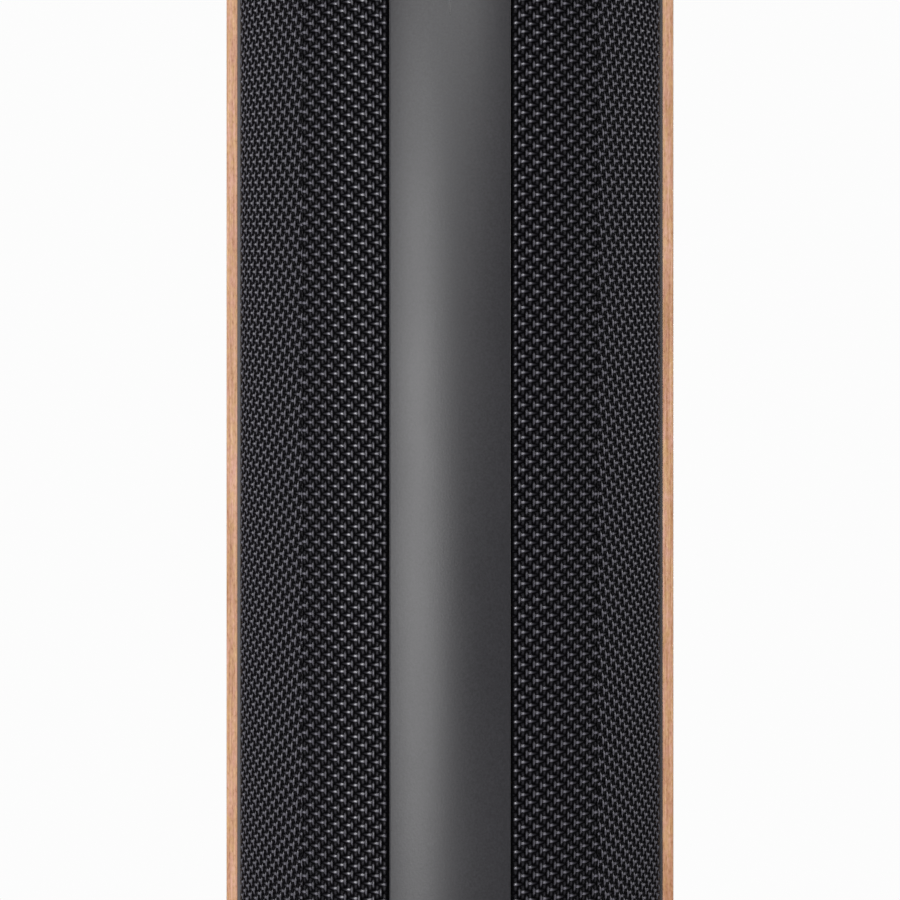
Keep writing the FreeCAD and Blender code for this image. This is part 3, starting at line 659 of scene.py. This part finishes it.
def rounded_plan(bm, inset, z, radius, side_x, back_y, corner):
    """Closed plan: round front, straight sides, rounded rear corners."""
    front_radius = radius - inset
    half = side_x - inset
    back = back_y - inset
    turn = math.asin(half / front_radius)
    first = chain(bm, -half, front_y(half, front_radius), z)
    vert = bend(bm, first, (0, front_axis_y()), 2 * turn, 72)
    vert = straight(bm, vert, half, back - corner)
    vert = bend(bm, vert, (half - corner, back - corner), math.radians(90), 16)
    vert = straight(bm, vert, -half + corner, back)
    vert = bend(bm, vert, (-half + corner, back - corner), math.radians(90), 16)
    straight(bm, vert, first.co.x, first.co.y)
    bmesh.ops.remove_doubles(bm, verts=bm.verts[:], dist=0.01 * MM)
    bmesh.ops.contextual_create(bm, geom=bm.edges[:])


def plan_slab(inset, bottom, top, radius, side_x, back_y, corner, bevel):
    bm = bmesh.new()
    rounded_plan(bm, inset, bottom, radius, side_x, back_y, corner)
    made = bmesh.ops.extrude_face_region(bm, geom=bm.faces[:])
    for item in made["geom"]:
        if isinstance(item, bmesh.types.BMVert):
            item.co.z = top
    recalc(bm)
    soften(bm, sharp_edges(bm, lambda co: True, math.radians(60)), bevel, 4)
    recalc(bm)
    flats = [f for f in bm.faces if abs(f.normal.z) > 0.999]
    bmesh.ops.inset_region(bm, faces=flats, thickness=MM, use_even_offset=True)
    hold(bm, (0, 0, bottom), (0, 0, top), ((0, 0), (0, 0), (bevel * 1.2, bevel * 1.2)))
    return bm


class SPEAKER_OT_ends(bpy.types.Operator):
    """Top cap and plinth."""
    bl_idname = "speaker.ends"
    bl_label = "Cap and plinth"

    def execute(self, context):
        s = sizes()
        low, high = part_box("top_cap")
        cap = plan_slab(0, low.z, high.z, s.front_radius, high.x, high.y, s.corner - s.skin, CAP_ROUND)
        piece("top_plate", cap, "spine", "cabinet", ["top_cap"])
        low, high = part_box("plinth")
        inset = low.y - CAD_LOW.y
        foot = plan_slab(
            inset, low.z, high.z, s.front_radius, high.x + inset, high.y + inset, s.corner, PLINTH_ROUND
        )
        piece("plinth_block", foot, "black_panel", "cabinet", ["plinth"])
        return {"FINISHED"}


# Cloth

CLOTH_INSET = 1.2 * MM      # from the round front in to the yarns' middle
SCRIM_GAP = 0.01 * MM       # between the scrim and the lowest yarns
EDGE_ROLL = 1.5 * MM        # width of the edge beside the spine that rolls back
TUCK = 6 * MM               # scrim turned back at each long edge
UPRIGHT_WIDTH = 0.88        # widths of a yarn as a share of its spacing
LEVEL_WIDTH = 0.92
ODD_CROWN = 0.75            # how round an odd yarn is beside an even one
STEPS_PER_YARN = 2
# Painted highlight: these numbers add a bright colour and a glossy coat where the lights' highlights fall on
# the yarns
BAR_HIGHLIGHT = 0.9             # most painted highlight and coat on an even upright yarn, where it surfaces
PATCH_HIGHLIGHT = 0.43          # most painted highlight and coat on an odd upright yarn, where it goes over
ODD_LEVEL_HIGHLIGHT = 0.1

# A level yarn past the bar that holds it down: place in yarns, painted highlight along its middle,
# and painted highlight at its edges as a share of that
HEAD_PLACES = (0.0, 0.5, 1.0, 1.5, 2.0, 2.5, 3.0)
HEAD_HIGHLIGHT = (0.0, 0.6, 1.1, 0.62, 0.4, 0.2, 0.0)
HEAD_WIDTH = (0.9, 0.9, 0.55, 0.2, 0.0, 0.0, 0.0)

# A zone of the flat cloth: box ((left, right), (bottom, top)), spacing of upright and of level yarns,
# their turn, how far a yarn rises and how round it is, how far a bar's painted highlight reaches in yarns,
# and 1.0 where the bars' painted highlights are wide, 0.0 where they aren't
Zone = namedtuple("Zone", "box spacing tilt lift crown bar_reach bold")


def cloth_zone(box, pitch, tilt, bar_reach, bold):
    """A finer pitch has thinner yarns."""
    s = sizes()
    scale = pitch / s.inner_pitch
    spacing = (pitch * s.squeeze, pitch)
    return Zone(box, spacing, tilt, s.yarn_lift * scale, s.yarn_crown * scale, bar_reach, bold)


def yarn_height(along, index, upright):
    """Height, from -1 to 1, of a yarn's middle at a place along it, in yarns.

    Every even yarn surfaces for one crossing in four (upright) or sinks for one in four (level), and every
    odd yarn goes over one and under one, lower down.
    """
    turn = np.cos((along - np.mod(index, 4)) * np.pi / 4) ** 2
    single = 2 * turn ** (1.1 if upright else 1.6) - 1
    plain = (-0.5 if upright else -0.1) * np.cos(along * np.pi)
    return (1 if upright else -1) * np.where(np.mod(index, 2) == 0, single, plain)


def yarn_highlight_mask(along, index, off, upright, bar_reach, bold):
    """How much painted highlight and coat a yarn gets, from 0 to 1, by its place along and across; bold widens
    it.

    The raised bars get the most painted highlight. A level yarn gets it where it comes out from under a bar,
    and it fades outward.
    """
    past_bar = np.mod(along - index, 4)
    even = np.mod(index, 2) == 0
    if upright:
        bar = np.clip(bar_reach - np.minimum(past_bar, 4 - past_bar), 0, 1)
        bar = bar * BAR_HIGHLIGHT * (1 - np.abs(off) * (1 - 0.4 * bold))
        near_odd = np.clip(1.2 - np.abs(np.mod(along, 2) - 1), 0, 1)
        patch = (PATCH_HIGHLIGHT - 0.15 * bold) * near_odd * (1 - 0.4 * np.abs(off))
        return np.where(even, bar, patch)
    head = np.interp(past_bar, HEAD_PLACES, HEAD_HIGHLIGHT) * (1 - 0.14 * bold)
    width = np.clip(np.interp(past_bar, HEAD_PLACES, HEAD_WIDTH) + 0.3 * bold, 0, 1)
    return np.where(even, head * (1 - np.abs(off) * (1 - width)), ODD_LEVEL_HIGHLIGHT)


def span_in_box(origin, direction, box, margin):
    """First and last place along a line inside the box and its margin, in lengths of direction, or None."""
    first, last = -1e9, 1e9
    for k in range(2):
        low, high = box[k][0] - margin, box[k][1] + margin
        if abs(direction[k]) < 1e-9:
            if not low <= origin[k] <= high:
                return None
            continue
        ends = sorted(((low - origin[k]) / direction[k], (high - origin[k]) / direction[k]))
        first, last = max(first, ends[0]), min(last, ends[1])
    return (first, last) if last > first else None


def yarn_ways(zone, upright):
    """Where the yarns are counted from, and one yarn's step along and across."""
    cos, sin = math.cos(zone.tilt), math.sin(zone.tilt)
    pivot = np.array([zone.box[0][0], (zone.box[1][0] + zone.box[1][1]) / 2])
    level_way, upright_way = np.array([cos, sin]) * zone.spacing[0], np.array([-sin, cos]) * zone.spacing[1]
    return (pivot, upright_way, level_way) if upright else (pivot, level_way, upright_way)


def strips(zone, upright, width):
    """Strips side by side in yarn units, x along and y across, each long enough to cross the zone."""
    pivot, along_way, across_way = yarn_ways(zone, upright)
    reach = sum(high - low for low, high in zone.box)
    count = int(reach / min(zone.spacing)) + 2
    bm = bmesh.new()
    for k in range(-count, count):
        span = span_in_box(pivot + across_way * k, along_way, zone.box, zone.spacing[1])
        if span is None:
            continue
        first = math.floor(span[0] * STEPS_PER_YARN) / STEPS_PER_YARN
        last = math.ceil(span[1] * STEPS_PER_YARN) / STEPS_PER_YARN
        place = Matrix.Translation(((first + last) / 2, k, 0))
        size = Matrix.Diagonal((last - first, width, 1, 1))
        steps = round((last - first) * STEPS_PER_YARN)
        bmesh.ops.create_grid(bm, x_segments=steps, y_segments=2, size=0.5, matrix=place @ size)
    return bm


def points(mesh):
    co = np.empty(len(mesh.vertices) * 3)
    mesh.vertices.foreach_get("co", co)
    return co.reshape(-1, 3)


def move_points(mesh, *columns):
    mesh.vertices.foreach_set("co", np.column_stack(columns).ravel())


def weave(mesh, zone, upright, width, rolled_from):
    """Raises the strips into the flat weave, and notes how far each point rises, which sets its painted shade,
    and how much painted highlight it gets.
    """
    pivot, along_way, across_way = yarn_ways(zone, upright)
    along, across = points(mesh)[:, :2].T
    index = np.round(across)
    off = (across - index) / (width / 2)
    roundness = np.where(np.mod(index, 2) == 0, 1.0, ODD_CROWN) * zone.crown
    height = yarn_height(along, index, upright) * zone.lift + roundness * (1 - off * off)
    flat = pivot + np.outer(along, along_way) + np.outer(across, across_way)
    move_points(mesh, flat, height)
    # Rise: how high each point is, which darkens the low points as painted shade
    rise = np.clip(height / (zone.lift + zone.crown), 0, 1)
    clear_of_roll = np.clip((flat[:, 0] - rolled_from) / EDGE_ROLL, 0, 1)
    # Painted highlight mask, with none on the edge that rolls back beside the spine
    highlight_mask = yarn_highlight_mask(along, index, off, upright, zone.bar_reach, zone.bold) * clear_of_roll
    for name, values in (("rise", rise), ("highlight_mask", highlight_mask)):
        mesh.attributes.new(name, "FLOAT", "POINT").data.foreach_set("value", values)


def cut_to_box(mesh, box):
    bm = bmesh.new()
    bm.from_mesh(mesh)
    for ends, axis in zip(box, (Vector((1, 0, 0)), Vector((0, 1, 0)))):
        for edge, way in zip(ends, (-1, 1)):
            bmesh.ops.bisect_plane(
                bm, geom=bm.verts[:] + bm.edges[:] + bm.faces[:], dist=1e-7,
                plane_co=axis * edge, plane_no=axis * way, clear_outer=True,
            )
    bm.to_mesh(mesh)
    bm.free()


def lay_on_front(mesh, radius, rolled_from):
    """Bends the flat weave round the front and rolls back its edge beside the spine."""
    across, up, height = points(mesh).T
    from_edge = np.clip((across - rolled_from) / EDGE_ROLL, 0, 1)
    turn, out = across / radius, radius + height - EDGE_ROLL * (1 - np.sqrt(1 - (1 - from_edge) ** 2))
    move_points(mesh, out * np.sin(turn), front_axis_y() - out * np.cos(turn), up)
    mesh.update()
    facing = sum(
        p.normal.x * p.center.x + p.normal.y * (p.center.y - front_axis_y()) for p in mesh.polygons[:200]
    )
    if facing < 0:
        mesh.flip_normals()


def yarn_mesh(name, zone, upright, radius, rolled_from):
    """All the level or all the upright yarns of one zone."""
    width = UPRIGHT_WIDTH if upright else LEVEL_WIDTH
    bm = strips(zone, upright, width)
    mesh = bpy.data.meshes.new(name)
    bm.to_mesh(mesh)
    bm.free()
    weave(mesh, zone, upright, width, rolled_from)
    cut_to_box(mesh, zone.box)
    lay_on_front(mesh, radius, rolled_from)
    return mesh


def scrim_mesh(name, radius, inner_turn, outer_turn, bottom, top):
    """The right-hand scrim: round between its edges, which are turned straight back."""
    bm = bmesh.new()
    edge_x = radius * math.sin(inner_turn)
    vert = chain(bm, edge_x, front_y(edge_x, radius) + TUCK, bottom)
    vert = straight(bm, vert, edge_x, front_y(edge_x, radius))
    vert = bend(bm, vert, (0, front_axis_y()), outer_turn - inner_turn, 80)
    straight(bm, vert, vert.co.x, vert.co.y + TUCK)
    raise_edges(bm, top)
    recalc(bm)
    if sum(f.normal.y for f in bm.faces) > 0:
        bmesh.ops.reverse_faces(bm, faces=bm.faces[:])
    mesh = bpy.data.meshes.new(name)
    bm.to_mesh(mesh)
    bm.free()
    return mesh


class SPEAKER_OT_grille_cloth(bpy.types.Operator):
    """Woven cloth of both grilles: a backing scrim whose near-black colour is painted shade for the gaps
    between yarns, with its edges turned back, and the yarns on it.
    """
    bl_idname = "speaker.grille_cloth"
    bl_label = "Grille cloth"

    def execute(self, context):
        s = sizes()
        low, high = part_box("grille_cloth_right")
        surface = s.front_radius - CLOTH_INSET
        backing = surface - s.yarn_lift - SCRIM_GAP
        inner_turn = math.asin(low.x / s.front_radius)
        outer_turn = math.asin(high.x / s.front_radius)
        heights = (low.z, high.z)
        inner, seam, outer = (turn * surface for turn in (inner_turn, s.seam_angle, outer_turn))
        zones = {
            "inner": cloth_zone(((inner, seam), heights), s.inner_pitch, 0.0, 1.45, 0.0),
            "outer": cloth_zone(((seam, outer), heights), s.outer_pitch, s.outer_tilt, 1.95, 1.0),
        }
        yarns = {"left": [], "right": []}
        for zone_name, zone in zones.items():
            for way in ("level", "upright"):
                name = "yarn_" + way + "_" + zone_name
                mesh = yarn_mesh(name + "_right", zone, way == "upright", surface, inner)
                other = mirrored_mesh(mesh, name + "_left")
                yarns["right"].append(piece_of_mesh(name + "_right", mesh, "cloth", "grille_right", sharp=0))
                yarns["left"].append(piece_of_mesh(name + "_left", other, "cloth", "grille_left", sharp=0))
        for side, sign in SIDES.items():
            name = "scrim_" + side
            mesh = scrim_mesh(name, backing, inner_turn, outer_turn, low.z, high.z)
            if sign < 0:
                mesh = mirrored_mesh(mesh, name)
            scrim = piece_of_mesh(name, mesh, "scrim", "grille_" + side, ["grille_cloth_" + side])
        return {"FINISHED"}


class SPEAKER_OT_carried_parts(bpy.types.Operator):
    """Gives every carried-over part of the frame the finish of its slot."""
    bl_idname = "speaker.carried_parts"
    bl_label = "Carried-over parts"

    def execute(self, context):
        for entry in frame["record"]["subparts"]:
            node = frame["nodes"][entry["node"]]
            node.data.materials.clear()
            node.data.materials.append(finish_of(entry["material_slot"]))
        return {"FINISHED"}


# Stage

FLOOR_RADIUS = 1.05
KEY_TURN = math.radians(17)     # the key light's turn to the left, and its distance
KEY_DISTANCE = 2.2
CAMERA_DISTANCE = 1.0
CAMERA_DROP = 0.0117            # below the middle of the column
LENS = 74.5
VIEW_SHIFT = 1 / 36


def area_light(name, place, target, size, power):
    data = bpy.data.lights.new(name, "AREA")
    data.shape = "RECTANGLE"
    data.size, data.size_y = size
    data.energy = power
    lamp = bpy.data.objects.new(name, data)
    lamp.location = place
    lamp.rotation_euler = (Vector(target) - Vector(place)).to_track_quat("-Z", "Y").to_euler()
    lamp.visible_camera = False
    bpy.context.scene.collection.objects.link(lamp)
    return lamp


class SPEAKER_OT_stage(bpy.types.Operator):
    """Pale floor, plain soft studio light and the camera."""
    bl_idname = "speaker.stage"
    bl_label = "Stage"

    def execute(self, context):
        scene = context.scene
        bm = bmesh.new()
        bmesh.ops.create_circle(bm, cap_ends=True, radius=FLOOR_RADIUS, segments=96)
        mesh = bpy.data.meshes.new("floor")
        bm.to_mesh(mesh)
        bm.free()
        mesh.materials.append(grained("pale_floor", (0.55, 0.55, 0.55), 0.7, 300.0, bump_distance=0.1 * MM))
        floor = bpy.data.objects.new("floor", mesh)
        scene.collection.objects.link(floor)

        world = bpy.data.worlds.new("studio")
        world.use_nodes = True
        scene.world = world
        tree = world.node_tree
        seen = tree.nodes["Background"]
        seen.inputs["Color"].default_value = (0.975, 0.975, 0.975, 1)
        lit = tree.nodes.new("ShaderNodeBackground")
        lit.inputs["Color"].default_value = (1, 1, 1, 1)
        lit.inputs["Strength"].default_value = 0.07
        path = tree.nodes.new("ShaderNodeLightPath")
        mix = tree.nodes.new("ShaderNodeMixShader")
        tree.links.new(path.outputs["Is Camera Ray"], mix.inputs[0])
        tree.links.new(lit.outputs[0], mix.inputs[1])
        tree.links.new(seen.outputs[0], mix.inputs[2])
        tree.links.new(mix.outputs[0], tree.nodes["World Output"].inputs["Surface"])

        middle = (CAD_LOW + CAD_HIGH) / 2
        front, back = Vector((0, CAD_LOW.y, middle.z)), Vector((0, CAD_HIGH.y, middle.z))
        key_place = front + Vector((-math.sin(KEY_TURN), -math.cos(KEY_TURN), 0)) * KEY_DISTANCE
        for name, place, target, size, power in (
            ("key", key_place - Vector((0, 0, 0.06)), front, (0.7, 1.5), 33.5),
            ("high_right", (0.27, front.y - 2.2, 1.65), front, (1.0, 0.6), 14),
            ("fill_right", (2.4, -0.5, middle.z + 0.5), front, (1.2, 1.5), 19),
            ("fill_left", (-2.4, -0.5, middle.z + 0.5), front, (1.2, 1.5), 18),
            ("back", (0.7, 2.3, middle.z + 0.35), back, (1.4, 1.6), 45),
        ):
            area_light(name, place, target, size, power)

        data = bpy.data.cameras.new("camera")
        data.sensor_width = 36
        data.lens = LENS
        data.shift_y = VIEW_SHIFT
        camera = bpy.data.objects.new("camera", data)
        camera.location = front + Vector((0, -CAMERA_DISTANCE, -CAMERA_DROP))
        camera.rotation_euler = (math.radians(90), 0, 0)
        scene.collection.objects.link(camera)
        scene.camera = camera
        scene.view_settings.view_transform = "Standard"
        return {"FINISHED"}


class SPEAKER_PT_panel(bpy.types.Panel):
    bl_idname = "SPEAKER_PT_panel"
    bl_label = "Floorstanding Speaker"
    bl_space_type = "VIEW_3D"
    bl_region_type = "UI"
    bl_category = "Speaker"

    def draw(self, context):
        for group in (context.scene.speaker_sizes, context.scene.speaker_colours):
            for name in group.__annotations__:
                self.layout.prop(group, name)
        for operator in OPERATORS:
            self.layout.operator(operator.bl_idname)


OPERATORS = (
    SPEAKER_OT_carried_parts,
    SPEAKER_OT_side_shells,
    SPEAKER_OT_spine,
    SPEAKER_OT_ends,
    SPEAKER_OT_grille_cloth,
    SPEAKER_OT_stage,
)
CLASSES = (SpeakerSizes, SpeakerColours, *OPERATORS, SPEAKER_PT_panel)


def register():
    for one in CLASSES:
        bpy.utils.register_class(one)
    bpy.types.Scene.speaker_sizes = bpy.props.PointerProperty(type=SpeakerSizes)
    bpy.types.Scene.speaker_colours = bpy.props.PointerProperty(type=SpeakerColours)


def unregister():
    del bpy.types.Scene.speaker_colours
    del bpy.types.Scene.speaker_sizes
    for one in reversed(CLASSES):
        bpy.utils.unregister_class(one)


def main():
    register()
    bpy.ops.speaker.carried_parts()
    bpy.ops.speaker.side_shells()
    bpy.ops.speaker.spine()
    bpy.ops.speaker.ends()
    bpy.ops.speaker.grille_cloth()
    bpy.ops.speaker.stage()


if __name__ == "__main__":
    main()
